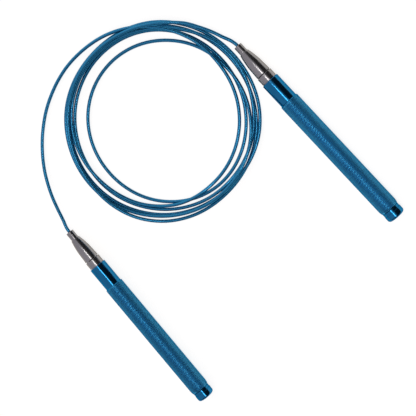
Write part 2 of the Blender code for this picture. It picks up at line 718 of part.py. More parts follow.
def coil_heights(angles, plan):
    """Heights of the coil's points when each pass is laid over those below it."""
    passes = np.clip(np.floor((PASS_ANGLE - angles) / 360.0), 0, len(LAY_ORDER) - 1).astype(int)
    run, share, places = split_runs(plan)
    order = np.array([LAY_ORDER.index(number) for number in passes])[run]
    apart = np.linalg.norm(places[:, None] - places[None], axis=2)
    reach = CABLE_DIA + LAY_GAP
    other_loop = np.abs(run[:, None] - run[None]) > LOOP_POINTS // 2
    above = (apart < reach) & other_loop & (order[:, None] > order[None])
    lift = np.sqrt(np.maximum(reach ** 2 - apart ** 2, 0.0))
    climb = LAY_SLOPE * np.linalg.norm(np.diff(plan, axis=0), axis=1)
    weight = (1 - share) ** 2 + share ** 2
    heights = np.full(len(plan), CABLE_R)
    heights[-1] = CABLE_R + COIL_EXIT_LIFT
    settled = False
    while not settled:
        laid = heights[run] + (heights[run + 1] - heights[run]) * share
        lack = np.maximum(np.where(above, laid[None] + lift, 0.0).max(axis=1) - laid, 0.0)
        rise = np.zeros(len(plan))
        np.maximum.at(rise, run, lack * (1 - share) / weight)
        np.maximum.at(rise, run + 1, lack * share / weight)
        raised = heights + LAY_EASE * rise
        for i in range(1, len(plan)):
            raised[i] = max(raised[i], raised[i - 1] - climb[i - 1])
        for i in range(len(plan) - 2, -1, -1):
            raised[i] = max(raised[i], raised[i + 1] - climb[i])
        settled = np.max(raised - heights) < LAY_SETTLED
        heights = raised
    return heights


def least_gap(points):
    """Least gap between strands of the coil, on short steps along it."""
    places = split_runs(points)[2]
    along = lengths_along(places)
    apart = np.linalg.norm(places[:, None] - places[None], axis=2)
    half_loop = math.pi * min(COIL_RADII)
    apart[np.abs(along[:, None] - along[None]) < half_loop] = np.inf
    return apart.min() - CABLE_DIA


def lead_points(tip, heading, route, meets):
    """Points along a free lead, from a handle's tip to the end of the coil that it meets."""
    out = -np.array([math.cos(math.radians(heading)), math.sin(math.radians(heading)), 0.0])
    front = np.array([*tip, AXIS_HEIGHT])
    lying = np.array(route) + (0.0, 0.0, CABLE_R)
    end, inside = meets
    away = (end - inside) / np.linalg.norm(end - inside)
    path = np.array([
        front + out * JOIN_GAP / 2,
        front + out * LEAD_STRAIGHT,
        *lying,
        end + away * CABLE_DIA,
        end + away * JOIN_GAP,
    ])
    knots = lengths_along(path)
    count = round(knots[-1] / (LEAD_SPACING * CABLE_DIA))
    along = np.linspace(knots[1], knots[-1], count)
    points = smooth_curve(path, knots, np.array([knots[0], *along]))
    points[:, 2] = np.maximum(points[:, 2], CABLE_R)
    return points


def cable():
    """Coil and the two free leads that join it to the handles."""
    angles, plan = coil_plan()
    coil = np.column_stack([plan, coil_heights(angles, plan)])
    lead_a = lead_points(HANDLE_A_TIP, HANDLE_A_HEADING, LEAD_A_ROUTE, (coil[-1], coil[-2]))
    lead_b = lead_points(HANDLE_B_TIP, HANDLE_B_HEADING, LEAD_B_ROUTE, (coil[0], coil[1]))
    tube("cable_coil", coil, CABLE_R, 1, BLUE_COATING)
    tube("cable_lead_a", lead_a, CABLE_R, 2, BLUE_COATING)
    tube("cable_lead_b", lead_b, CABLE_R, 2, BLUE_COATING)
    print(f"least gap in the coil: {least_gap(coil) * 1000:.2f} mm")


handle("a", HANDLE_A_TIP, HANDLE_A_HEADING)
handle("b", HANDLE_B_TIP, HANDLE_B_HEADING)
cable()
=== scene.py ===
"""Jump rope with self-locking handles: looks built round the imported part, in metres, +Z up."""
import json
import math

import bmesh
import bpy
import numpy as np
from mathutils import Matrix, Vector

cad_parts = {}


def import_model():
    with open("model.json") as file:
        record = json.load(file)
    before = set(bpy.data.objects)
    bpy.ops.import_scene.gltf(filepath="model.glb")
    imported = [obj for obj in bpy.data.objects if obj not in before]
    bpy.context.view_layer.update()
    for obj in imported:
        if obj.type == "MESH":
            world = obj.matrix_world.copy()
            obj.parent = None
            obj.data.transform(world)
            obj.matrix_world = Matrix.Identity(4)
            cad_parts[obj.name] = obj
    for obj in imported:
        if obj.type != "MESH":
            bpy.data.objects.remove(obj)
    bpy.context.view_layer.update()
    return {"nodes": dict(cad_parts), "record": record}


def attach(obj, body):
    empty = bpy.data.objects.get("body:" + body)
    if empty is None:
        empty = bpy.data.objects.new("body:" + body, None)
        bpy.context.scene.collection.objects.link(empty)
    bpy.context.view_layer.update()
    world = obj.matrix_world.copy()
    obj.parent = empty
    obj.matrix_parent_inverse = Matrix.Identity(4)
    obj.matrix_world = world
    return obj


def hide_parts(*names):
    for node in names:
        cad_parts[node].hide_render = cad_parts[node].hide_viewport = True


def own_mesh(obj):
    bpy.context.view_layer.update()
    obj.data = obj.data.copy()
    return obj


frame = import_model()

# Where the handles lie: front of the tip, and the heading of the axis in degrees from +X
HANDLES = {
    "a": ((0.00614, 0.13511), -45.49),
    "b": ((-0.12404, -0.00805), -49.28),
}
AXIS_HEIGHT = 0.0075

# Cable and its tails inside the handles
CABLE_DIA = 0.0025
CABLE_R = CABLE_DIA / 2
CABLE_BORE_R = 0.0015
TAIL_LENGTH = 0.1200
TAIL_FRONT = 0.00015
CABLE_ENTRY = 0.00005

# Wires that show through the coating
COAT_R = 0.00129
WIRES = 10
WIRE_LEVELS = (0.0, 1.0, 1.0)
WIRE_END_LEVEL = 0.5
WIRE_LAY = 0.0100
WIRE_GROOVE = 0.000012
RING_SPACING = 0.00065

# Coil: its radius at each eighth of a turn, clockwise from its left-hand side
COIL_CENTRE = (-0.05254, 0.07773)
COIL_RADII = (
    0.0906, 0.0774, 0.0695, 0.0635, 0.0592, 0.0591, 0.0629, 0.0651,
    0.0684, 0.0679, 0.0689, 0.0732, 0.0701, 0.0665, 0.0657, 0.0668,
    0.0665, 0.0662, 0.0675, 0.0658, 0.0642, 0.0630, 0.0593, 0.0564,
    0.0562, 0.0570, 0.0599, 0.0648, 0.0687, 0.0690, 0.0704, 0.0733,
    0.0729, 0.0706, 0.0733, 0.0744, 0.0745, 0.0694, 0.0697, 0.0717,
    0.0710, 0.0690, 0.0705, 0.0712, 0.0718, 0.0714, 0.0745, 0.0719,
    0.0705, 0.0692, 0.0726, 0.0827,
)
RADII_PER_TURN = 8
FIRST_ANGLE = 180.0
COIL_START = 150.0
COIL_END = -2085.0
LOOP_POINTS = 24
PASS_ANGLE = 270.0
LAY_ORDER = (5, 4, 2, 1, 3, 0, 6)
LAY_GAP = 0.0005
LAY_SLOPE = 0.15
LAY_STEPS = 4
LAY_EASE = 0.3
LAY_SETTLED = 0.0000001
COIL_EXIT_LIFT = 0.0072
FINE_POINTS = 96

# Free leads: places along each, from the handle to the coil, with the height above lying flat
LEAD_ROUTES = {
    "a": (
        (0.0022, 0.1381, 0.0063),
        (-0.0049, 0.1413, 0.0066),
        (-0.0121, 0.1446, 0.0069),
        (-0.0214, 0.1478, 0.0071),
    ),
    "b": (
        (-0.1261, -0.0052, 0.0062),
        (-0.1289, 0.0006, 0.0057),
        (-0.1336, 0.0093, 0.0047),
        (-0.1380, 0.0182, 0.0036),
        (-0.1414, 0.0273, 0.0026),
        (-0.1439, 0.0363, 0.0017),
        (-0.1454, 0.0454, 0.0009),
        (-0.1459, 0.0545, 0.0004),
        (-0.1456, 0.0634, 0.0001),
        (-0.1443, 0.0729, 0.0),
        (-0.1414, 0.0850, 0.0),
        (-0.1369, 0.0965, 0.0),
        (-0.1312, 0.1072, 0.0),
    ),
}
LEAD_STRAIGHT = 0.0010

# Radii along a handle
PLUNGER_R = 0.00305
FLANGE_R = 0.0036
WINDOW_R = 0.0011
NOSE_BORE_R = 0.00325
NOSE_FRONT_R = 0.00355
CHAMBER_R = 0.004232
NOSE_SHOULDER_R = 0.005302
NOSE_REAR_R = 0.005752
NOSE_BULGE = 0.0002
CARRIER_LIP_R = 0.00325
CARRIER_BORE_R = 0.00465
GROOVE_BOTTOM_R = 0.0051
SPIGOT_R = 0.0056
# Black washer in the gap behind the nose: painted shade that darkens the gap
SHADE_WASHER_BORE_R = 0.0034
SHADE_WASHER_R = 0.0053
RING_R = 0.00605
COUNTERBORE_R = 0.00575
NECK_R = 0.0068
GRIP_R = 0.0075
GRIP_BORE_R = 0.0052
REAR_BORE_R = 0.00565
SHOULDER_DROP = 0.00055
CAP_R = 0.0068
CAP_BEAD_R = 0.0070
CAP_GROOVE_R = 0.00655
CAP_SPIGOT_R = 0.0055
CAP_BORE_R = 0.0034
ORING_SEAT_R = 0.0043

# Places along a handle, from the front of the tip backwards
NOSE_FRONT = 0.0067
TAPER_FRONT = 0.0107
LOCK_Z = 0.01204932
FLANGE_FRONT = 0.01394932
FLANGE_REAR = 0.01474932
TAPER_REAR = 0.0169
NOSE_SHOULDER = 0.0171
NOSE_REAR = 0.0267
# Black washer in the gap behind the nose: painted shade that darkens the gap
SHADE_WASHER_FRONT = 0.02685
SHADE_WASHER_REAR = 0.02725
RING_FRONT = 0.0273
LIP_REAR = 0.0283
RING_REAR = 0.0330
NECK_FRONT = 0.0333
GROOVE_FRONT = 0.039325
GROOVE_REAR = 0.040075
CARRIER_REAR = 0.04115
COUNTERBORE_REAR = 0.0413
GRIP_FRONT = 0.0527
REAR_BORE_FRONT = 0.1483
CAP_SPIGOT_FRONT = 0.1498
ORING_FRONT = 0.1526
ORING_REAR = 0.1540
GRIP_REAR = 0.1575
CAP_FRONT = 0.1578
CAP_GROOVE_FRONT = 0.1597
CAP_GROOVE_REAR = 0.1601
CAP_BORE_REAR = 0.1607
CAP_REAR = 0.1652
CAP_ROUND_LENGTH = 0.0020
CAP_ROUND_DEPTH = 0.0018
SHOULDER_LENGTH = 0.0036

# Lock spring behind the plunger
SPRING_R = 0.00325
SPRING_WIRE_R = 0.00025
SPRING_FRONT = 0.01489932
SPRING_LENGTH = 0.0060
SPRING_TURNS = 4.5
SPRING_STEPS = 40
SPRING_FACETS = 12

# Lock balls, each in a round window of the plunger
LOCK_BALLS = 3
WINDOW_SEGMENTS = 32

# Knurl: diamonds round the grip and along it
KNURL_COUNT = 40
KNURL_FACETS = 4
KNURL_STEP = 0.0019
KNURL_DEPTH = 0.00028
KNURL_TOP = 2.0
KNURL_FRONT = 0.0536
KNURL_REAR = 0.1573
KNURL_FADE = 0.0005

# Facets and edges
SIDES = KNURL_FACETS * KNURL_COUNT
CURVE_STEPS = 14
EDGE_STEPS = 3
FINE_EDGE = 0.0001
BROKEN_EDGE = 0.0002
TIP_EDGE = 0.0003
RING_EDGE = 0.00015
# Edge of the black washer of painted shade in the gap behind the nose
SHADE_WASHER_EDGE = 0.00005
NECK_EDGE = 0.0004
GRIP_CHAMFER = 0.0006
SHARP_ANGLE = math.radians(40)
ON_AXIS_R = 1e-9


# Materials

# Range that noise mostly keeps to, and its scales: clouding, changes of gloss, and relief
NOISE_LOW = 0.3
NOISE_HIGH = 0.7
TURNED_NOISE = (160.0, 420.0, 5200.0)
PLAIN_NOISE = (300.0, 900.0, 6000.0)
KNURL_NOISE = (90.0, 1400.0, 7000.0)
CABLE_NOISE = (120.0, 900.0, 3000.0)
RUBBER_NOISE = (800.0, 2500.0, 4000.0)
FINE_RELIEF = 0.00001
DEEP_RELIEF = 0.00002


def principled(name, roughness, metallic, **sockets):
    """New node material, with what is even all over set on its shader."""
    material = bpy.data.materials.new(name)
    material.use_nodes = True
    shader = material.node_tree.nodes["Principled BSDF"]
    shader.inputs["Roughness"].default_value = roughness
    shader.inputs["Metallic"].default_value = metallic
    for socket, value in sockets.items():
        shader.inputs[socket.replace("_", " ")].default_value = value
    return material


def add_node(material, kind, inputs=(), **settings):
    """New node with its settings and input values or links."""
    tree = material.node_tree
    node = tree.nodes.new(kind)
    for setting, value in settings.items():
        setattr(node, setting, value)
    for socket, value in dict(inputs).items():
        if isinstance(value, bpy.types.NodeSocket):
            tree.links.new(value, node.inputs[socket])
        else:
            node.inputs[socket].default_value = value
    return node


def feed(material, socket, source):
    """Links a node's output to the material's shader."""
    shader = material.node_tree.nodes["Principled BSDF"]
    material.node_tree.links.new(source, shader.inputs[socket])


def ramp(material, factor, stops):
    """Colour ramp, from (place, colour) stops."""
    node = add_node(material, "ShaderNodeValToRGB", {"Fac": factor})
    elements = node.color_ramp.elements
    while len(elements) < len(stops):
        elements.new(1.0)
    for element, (place, colour) in zip(elements, stops):
        element.position = place
        element.color = (*colour, 1.0)
    return node.outputs["Color"]


def noise(material, scale, stretch=(1.0, 1.0, 1.0), detail=3.0):
    """Noise over the piece's own coordinates, stretched along its axes."""
    place = add_node(material, "ShaderNodeTexCoord").outputs["Object"]
    mapped = add_node(material, "ShaderNodeMapping", {"Vector": place, "Scale": stretch})
    texture = add_node(
        material,
        "ShaderNodeTexNoise",
        {"Vector": mapped.outputs["Vector"], "Scale": scale, "Detail": detail},
    )
    return texture.outputs["Fac"]


def spread(material, factor, low, high):
    """Noise spread from its usual range to the given one."""
    node = add_node(
        material,
        "ShaderNodeMapRange",
        {
            "Value": factor,
            "From Min": NOISE_LOW,
            "From Max": NOISE_HIGH,
            "To Min": low,
            "To Max": high,
        },
    )
    return node.outputs["Result"]


def maths(material, operation, first, second):
    """Result of a sum on two values or links."""
    node = add_node(material, "ShaderNodeMath", {0: first, 1: second}, operation=operation)
    return node.outputs["Value"]


def dot_product(material, first, second):
    """Share of one vector along another."""
    node = add_node(material, "ShaderNodeVectorMath", {0: first, 1: second}, operation="DOT_PRODUCT")
    return node.outputs["Value"]


def bump(material, height, distance, strength):
    """Fine relief on the shader's normal."""
    node = add_node(
        material,
        "ShaderNodeBump",
        {"Height": height, "Distance": distance, "Strength": strength},
    )
    feed(material, "Normal", node.outputs["Normal"])


def turned_metal(name, dark, light, rough, marks, **sockets):
    """Metal with the fine rings of a lathe tool, clouded a little."""
    clouds, gloss, marks_scale = TURNED_NOISE
    material = principled(name, rough[0], 1.0, **sockets)
    cloud = noise(material, clouds, (1.0, 1.0, 0.35))
    feed(material, "Base Color", ramp(material, cloud, [(NOISE_LOW, dark), (NOISE_HIGH, light)]))
    smear = noise(material, gloss, (1.0, 1.0, 3.0))
    feed(material, "Roughness", spread(material, smear, *rough))
    rings = noise(material, marks_scale, (0.01, 0.01, 1.0), 2.0)
    bump(material, rings, DEEP_RELIEF, marks)
    return material


def plain_metal(name, dark, light, rough):
    """Metal of a small inner piece, with a fine grain."""
    clouds, gloss, grain = PLAIN_NOISE
    material = principled(name, rough[0], 1.0)
    stops = [(NOISE_LOW, dark), (NOISE_HIGH, light)]
    feed(material, "Base Color", ramp(material, noise(material, clouds), stops))
    feed(material, "Roughness", spread(material, noise(material, gloss), *rough))
    bump(material, noise(material, grain), FINE_RELIEF, 0.15)
    return material


BRIGHT_STEEL = turned_metal(
    "bright_steel_turned",
    (0.293, 0.284, 0.279),
    (0.342, 0.331, 0.326),
    (0.21, 0.28),
    0.05,
    Specular_Tint=(0.50, 0.45, 0.40, 1.0),
)
INNER_STEEL = plain_metal("inner_steel", (0.50, 0.49, 0.48), (0.58, 0.56, 0.55), (0.20, 0.30))
BEARING_STEEL = plain_metal(
    "ground_bearing_steel", (0.58, 0.58, 0.60), (0.64, 0.64, 0.66), (0.10, 0.18)
)
SPRING_STEEL = plain_metal(
    "oiled_spring_steel", (0.34, 0.34, 0.36), (0.43, 0.43, 0.45), (0.25, 0.36)
)
CAGE_BRASS = plain_metal("cage_brass", (0.62, 0.45, 0.16), (0.74, 0.56, 0.23), (0.28, 0.42))
CRIMP_ALUMINIUM = plain_metal(
    "crimped_aluminium", (0.64, 0.64, 0.66), (0.74, 0.74, 0.76), (0.34, 0.48)
)
BLUE_BRIGHT = turned_metal(
    "blue_anodised_bright",
    (0.016, 0.158, 0.319),
    (0.022, 0.187, 0.372),
    (0.12, 0.19),
    0.03,
    Specular_Tint=(0.30, 0.45, 0.55, 1.0),
)


def knurled_metal():
    """Satin anodised metal, paler on the crests of the knurl and darker in its grooves: painted
    shade in the grooves.
    """
    clouds, gloss, grain = KNURL_NOISE
    material = principled(
        "blue_anodised_knurl", 0.42, 1.0, Specular_Tint=(0.30, 0.55, 0.75, 1.0)
    )
    crest = add_node(material, "ShaderNodeAttribute", attribute_name="crest").outputs["Fac"]
    cloud = noise(material, clouds, (1.0, 1.0, 0.25))
    height = maths(material, "ADD", crest, spread(material, cloud, -0.12, 0.12))
    # Colours from groove to crest: the darker groove colours are painted shade.
    stops = [
        (0.0, (0.025, 0.182, 0.347)),
        (0.75, (0.044, 0.292, 0.516)),
        (1.0, (0.054, 0.347, 0.584)),
    ]
    feed(material, "Base Color", ramp(material, height, stops))
    feed(material, "Roughness", spread(material, noise(material, gloss), 0.37, 0.48))
    bump(material, noise(material, grain), FINE_RELIEF, 0.2)
    return material


def coated_cable():
    """Clear blue coating over twisted wires, darker in the grooves between the wires: painted shade
    in the grooves.
    """
    clouds, gloss, grain = CABLE_NOISE
    material = principled(
        "blue_coated_cable",
        0.26,
        0.9,
        Specular_IOR_Level=0.4,
        Specular_Tint=(0.30, 0.45, 0.55, 1.0),
    )
    crest = add_node(material, "ShaderNodeAttribute", attribute_name="crest").outputs["Fac"]
    height = maths(material, "ADD", crest, spread(material, noise(material, clouds), -0.15, 0.15))
    # Colours from groove to crest: the darker groove colours are painted shade.
    stops = [
        (0.0, (0.022, 0.170, 0.319)),
        (0.7, (0.027, 0.202, 0.370)),
        (1.0, (0.034, 0.223, 0.401)),
    ]
    feed(material, "Base Color", ramp(material, height, stops))
    feed(material, "Roughness", spread(material, noise(material, gloss), 0.22, 0.30))
    bump(material, noise(material, grain), DEEP_RELIEF, 0.05)
    return material


def rubber():
    """Matt black rubber, also on the washer of painted shade in the gap behind the nose."""
    clouds, gloss, grain = RUBBER_NOISE
    material = principled("black_rubber_and_gap_shade", 0.7, 0.0)
    stops = [(NOISE_LOW, (0.015, 0.015, 0.016)), (NOISE_HIGH, (0.028, 0.028, 0.028))]
    feed(material, "Base Color", ramp(material, noise(material, clouds), stops))
    feed(material, "Roughness", spread(material, noise(material, gloss), 0.60, 0.80))
    bump(material, noise(material, grain), DEEP_RELIEF, 0.25)
    return material


BLUE_KNURL = knurled_metal()
CABLE_COAT = coated_cable()
BLACK_RUBBER_AND_GAP_SHADE = rubber()
SLOT_MATERIALS = {
    "bright_steel": INNER_STEEL,
    "bearing_steel": BEARING_STEEL,
    "spring_steel": SPRING_STEEL,
    "cage_brass": CAGE_BRASS,
    "blue_anodised": BLUE_BRIGHT,
    "blue_coating": CABLE_COAT,
    "crimp_aluminium": CRIMP_ALUMINIUM,
    "black_rubber": BLACK_RUBBER_AND_GAP_SHADE,
}


# Turned pieces


def rounded(corners):
    """Open run of (radius, z, size) corners, with an arc of that size where one is given."""
    points = []
    for i, (radius, z, *size) in enumerate(corners):
        here = np.array([radius, z])
        if not size:
            points.append(here)
            continue
        before = np.array(corners[i - 1][:2]) - here
        after = np.array(corners[i + 1][:2]) - here
        start = here + before / np.linalg.norm(before) * size[0]
        end = here + after / np.linalg.norm(after) * size[0]
        for k in range(EDGE_STEPS + 1):
            t = k / EDGE_STEPS
            points.append(start * (1 - t) ** 2 + here * 2 * t * (1 - t) + end * t * t)
    return points


def turned(name, outline, materials, relief=None):
    """Closed outline turned about local Z. Relief gives rows of it a cut at each point."""
    rows = np.array(outline)
    ahead = np.roll(rows, -1, axis=0)
    if np.sum(rows[:, 0] * ahead[:, 1] - ahead[:, 0] * rows[:, 1]) < 0:
        raise ValueError(f"{name}: outline runs the wrong way round")
    on_axis = rows[:, 0] < ON_AXIS_R
    turns = 2 * np.pi * np.arange(SIDES) / SIDES
    cuts = relief or {}
    vertices = []
    rings = []
    crests = []
    for number, (radius, z) in enumerate(rows):
        first = len(vertices)
        if on_axis[number]:
            vertices.append((0.0, 0.0, z))
            crests.append(1.0)
            rings.append([first] * SIDES)
            continue
        cut = cuts.get(number, np.zeros(SIDES))
        for turn, depth in zip(turns, cut):
            reach = radius - depth
            vertices.append((reach * math.cos(turn), reach * math.sin(turn), z))
        crests.extend(1.0 - cut / KNURL_DEPTH)
        rings.append(list(range(first, first + SIDES)))
    faces = []
    rough = []
    for number in range(len(rows)):
        here = rings[number]
        there = rings[(number + 1) % len(rows)]
        if on_axis[number] and on_axis[(number + 1) % len(rows)]:
            continue
        cut_row = number in cuts and number + 1 in cuts
        for k in range(SIDES):
            n = (k + 1) % SIDES
            corners = [here[k], here[n], there[n], there[k]]
            if cut_row:
                level = [crests[c] for c in corners]
                a, b, c, d = corners
                if abs(level[0] - level[2]) <= abs(level[1] - level[3]):
                    faces += [(a, b, c), (a, c, d)]
                else:
                    faces += [(a, b, d), (b, c, d)]
                rough += [True, True]
            else:
                faces.append(tuple(dict.fromkeys(corners)))
                rough.append(False)
    data = bpy.data.meshes.new(name)
    data.from_pydata(vertices, [], faces)
    data.shade_smooth()
    data.set_sharp_from_angle(angle=SHARP_ANGLE)
    for material in materials:
        data.materials.append(material)
    if relief:
        flags = np.array(rough)
        data.polygons.foreach_set("use_smooth", ~flags)
        data.polygons.foreach_set("material_index", flags.astype(np.int32))
    # Crest level of each point; the knurl's material darkens it towards the grooves as painted
    # shade.
    crest = data.attributes.new("crest", "FLOAT", "POINT")
    crest.data.foreach_set("value", np.array(crests, dtype=np.float32))
    data.update()
    piece = bpy.data.objects.new(name, data)
    bpy.context.scene.collection.objects.link(piece)
    return piece


def handle_matrix(side):
    """Carries local +Z to the handle's axis, from the front of its tip backwards."""
    tip, heading = HANDLES[side]
    turn = Matrix.Rotation(math.radians(heading), 4, "Z") @ Matrix.Rotation(math.pi / 2, 4, "Y")
    return Matrix.Translation((*tip, AXIS_HEIGHT)) @ turn


def mount(piece, side, body, node):
    """Puts a piece on its handle, in place of its solid."""
    piece.matrix_world = handle_matrix(side)
    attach(piece, body)
    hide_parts(node)


def release_tip(side):
    """Plunger with a round-edged tip, a window for each lock ball and a flange."""
    outline = rounded([
        (CABLE_BORE_R, FLANGE_REAR),
        (CABLE_BORE_R, 0.0, FINE_EDGE),
        (PLUNGER_R, 0.0, TIP_EDGE),
        (PLUNGER_R, FLANGE_FRONT),
        (FLANGE_R, FLANGE_FRONT, FINE_EDGE),
        (FLANGE_R, FLANGE_REAR, FINE_EDGE),
        (CABLE_BORE_R + FINE_EDGE, FLANGE_REAR),
    ])
    piece = turned(f"release_tip_{side}", outline, [BRIGHT_STEEL])
    windows = bmesh.new()
    inner = WINDOW_R / math.tan(math.pi / LOCK_BALLS)
    place = Matrix.Translation(((inner + FLANGE_R) / 2, 0.0, LOCK_Z))
    middle = place @ Matrix.Rotation(math.pi / 2, 4, "Y")
    for number in range(LOCK_BALLS):
        bmesh.ops.create_cone(
            windows,
            cap_ends=True,
            segments=WINDOW_SEGMENTS,
            radius1=WINDOW_R,
            radius2=WINDOW_R,
            depth=FLANGE_R - inner,
            matrix=Matrix.Rotation(2 * math.pi * number / LOCK_BALLS, 4, "Z") @ middle,
        )
    data = bpy.data.meshes.new(f"windows_{side}")
    windows.to_mesh(data)
    windows.free()
    cutter = bpy.data.objects.new(f"windows_{side}", data)
    bpy.context.scene.collection.objects.link(cutter)
    cut = piece.modifiers.new("windows", "BOOLEAN")
    cut.operation = "DIFFERENCE"
    cut.object = cutter
    bpy.context.view_layer.update()
    evaluated = piece.evaluated_get(bpy.context.evaluated_depsgraph_get())
    piece.modifiers.clear()
    piece.data = bpy.data.meshes.new_from_object(evaluated)
    bpy.data.objects.remove(cutter)
    mount(piece, side, f"release_{side}", f"release_plunger_{side}")


def nose(side):
    """Bulging cone and flared barrel over the tapered bore of the lock."""
    cone = []
    for k in range(CURVE_STEPS + 1):
        t = k / CURVE_STEPS
        radius = NOSE_FRONT_R + (NOSE_SHOULDER_R - NOSE_FRONT_R) * t + 4 * NOSE_BULGE * t * (1 - t)
        cone.append((radius, NOSE_FRONT + (NOSE_SHOULDER - NOSE_FRONT) * t))
    cone[0] = (*cone[0], FINE_EDGE)
    outline = rounded([
        (NOSE_BORE_R, TAPER_FRONT),
        (NOSE_BORE_R, NOSE_FRONT, FINE_EDGE),
        *cone,
        (NOSE_REAR_R, NOSE_REAR, BROKEN_EDGE),
        (CHAMBER_R, NOSE_REAR, FINE_EDGE),
        (CHAMBER_R, TAPER_REAR),
    ])
    piece = turned(f"nose_{side}", outline, [BRIGHT_STEEL])
    mount(piece, side, "rope", f"nose_cone_{side}")


def front_ring(side):
    """Bearing carrier, whose front is the steel ring behind the nose."""
    outline = rounded([
        (CARRIER_LIP_R, LIP_REAR),
        (CARRIER_LIP_R, RING_FRONT, FINE_EDGE),
        (RING_R, RING_FRONT, BROKEN_EDGE),
        (RING_R, RING_REAR, RING_EDGE),
        (SPIGOT_R, RING_REAR),
        (SPIGOT_R, CARRIER_REAR, FINE_EDGE),
        (CARRIER_BORE_R, CARRIER_REAR, FINE_EDGE),
        (CARRIER_BORE_R, GROOVE_REAR),
        (GROOVE_BOTTOM_R, GROOVE_REAR),
        (GROOVE_BOTTOM_R, GROOVE_FRONT),
        (CARRIER_BORE_R, GROOVE_FRONT),
        (CARRIER_BORE_R, LIP_REAR),
    ])
    piece = turned(f"front_ring_{side}", outline, [BRIGHT_STEEL])
    mount(piece, side, f"handle_{side}", f"bearing_carrier_{side}")


def gap_shade_washer(side):
    """Thin black washer that fills the gap between the nose and the ring: painted shade that darkens
    the gap.
    """
    outline = rounded([
        (SHADE_WASHER_BORE_R, SHADE_WASHER_REAR),
        (SHADE_WASHER_BORE_R, SHADE_WASHER_FRONT, SHADE_WASHER_EDGE),
        (SHADE_WASHER_R, SHADE_WASHER_FRONT, SHADE_WASHER_EDGE),
        (SHADE_WASHER_R, SHADE_WASHER_REAR, SHADE_WASHER_EDGE),
        (SHADE_WASHER_BORE_R + SHADE_WASHER_EDGE, SHADE_WASHER_REAR),
    ])
    piece = turned(f"gap_shade_washer_{side}", outline, [BLACK_RUBBER_AND_GAP_SHADE])
    piece.matrix_world = handle_matrix(side)
    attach(piece, f"handle_{side}")


def triangle_wave(x):
    """0 at whole numbers and 1 halfway between them."""
    return 2 * np.abs(x - np.round(x))


def grip(side):
    """Grip with a bright neck in front, knurled from there to its rounded shoulder."""
    outline = rounded([
        (COUNTERBORE_R, COUNTERBORE_REAR),
        (COUNTERBORE_R, NECK_FRONT, FINE_EDGE),
        (NECK_R, NECK_FRONT, NECK_EDGE),
        (NECK_R, GRIP_FRONT),
        (GRIP_R, GRIP_FRONT + GRIP_CHAMFER, BROKEN_EDGE),
        (GRIP_R, KNURL_FRONT),
    ])[:-1]
    step = KNURL_STEP / KNURL_FACETS
    count = int((KNURL_REAR - KNURL_FRONT) / step)
    columns = np.arange(SIDES)
    relief = {}
    for row in range(count + 1):
        z = KNURL_FRONT + row * step
        rising = triangle_wave((columns + row) / KNURL_FACETS)
        falling = triangle_wave((columns - row) / KNURL_FACETS)
        crossing = np.minimum(rising, falling)
        fade = min(1.0, row * step / KNURL_FADE, (count - row) * step / KNURL_FADE)
        relief[len(outline)] = KNURL_DEPTH * fade * (1 - np.minimum(1.0, KNURL_TOP * crossing))
        rounding = max(0.0, 1 - (GRIP_REAR - z) / SHOULDER_LENGTH)
        outline.append((GRIP_R - SHOULDER_DROP * rounding * rounding, z))
    outline += rounded([
        (GRIP_R - SHOULDER_DROP, GRIP_REAR),
        (REAR_BORE_R, GRIP_REAR),
        (REAR_BORE_R, REAR_BORE_FRONT),
        (GRIP_BORE_R, REAR_BORE_FRONT),
        (GRIP_BORE_R, COUNTERBORE_REAR),
    ])
    piece = turned(f"grip_{side}", outline, [BLUE_BRIGHT, BLUE_KNURL], relief)
    mount(piece, side, f"handle_{side}", f"grip_tube_{side}")


def end_cap(side):
    """Round-edged cap with a grooved head and a hollow spigot."""
    corner = []
    for k in range(CURVE_STEPS + 1):
        turn = math.pi / 2 * k / CURVE_STEPS
        radius = CAP_BEAD_R - CAP_ROUND_DEPTH * (1 - math.cos(turn))
        corner.append((radius, CAP_REAR - CAP_ROUND_LENGTH * (1 - math.sin(turn))))
    outline = rounded([
        (0.0, CAP_BORE_REAR),
        (CAP_BORE_R, CAP_BORE_REAR),
        (CAP_BORE_R, CAP_SPIGOT_FRONT),
        (CAP_SPIGOT_R, CAP_SPIGOT_FRONT, FINE_EDGE),
        (CAP_SPIGOT_R, ORING_FRONT),
        (ORING_SEAT_R, ORING_FRONT),
        (ORING_SEAT_R, ORING_REAR),
        (CAP_SPIGOT_R, ORING_REAR),
        (CAP_SPIGOT_R, CAP_FRONT),
        (CAP_R, CAP_FRONT, BROKEN_EDGE),
        (CAP_R, CAP_GROOVE_FRONT, FINE_EDGE),
        (CAP_GROOVE_R, CAP_GROOVE_FRONT),
        (CAP_GROOVE_R, CAP_GROOVE_REAR),
        (CAP_BEAD_R, CAP_GROOVE_REAR, BROKEN_EDGE),
        *corner,
        (0.0, CAP_REAR),
    ])
    piece = turned(f"end_cap_visual_{side}", outline, [BLUE_BRIGHT])
    mount(piece, side, f"handle_{side}", f"end_cap_{side}")


# Cable route, by the same rule as the solids


def smooth_curve(places, knots, at):
    """Values at the given knots of a smooth curve through the places."""
    places = np.asarray(places, dtype=float)
    slopes = np.gradient(places, knots, axis=0)
    left = np.clip(np.searchsorted(knots, at, side="right") - 1, 0, len(knots) - 2)
    span = knots[left + 1] - knots[left]
    u = (at - knots[left]) / span
    if places.ndim > 1:
        span = span[:, None]
        u = u[:, None]
    start = places[left] * (1 + 2 * u) * (1 - u) ** 2 + slopes[left] * span * u * (1 - u) ** 2
    end = places[left + 1] * u * u * (3 - 2 * u) - slopes[left + 1] * span * u * u * (1 - u)
    return start + end


def lengths_along(points):
    """Distance along a run of points, at each point."""
    return np.concatenate([[0.0], np.cumsum(np.linalg.norm(np.diff(points, axis=0), axis=1))])


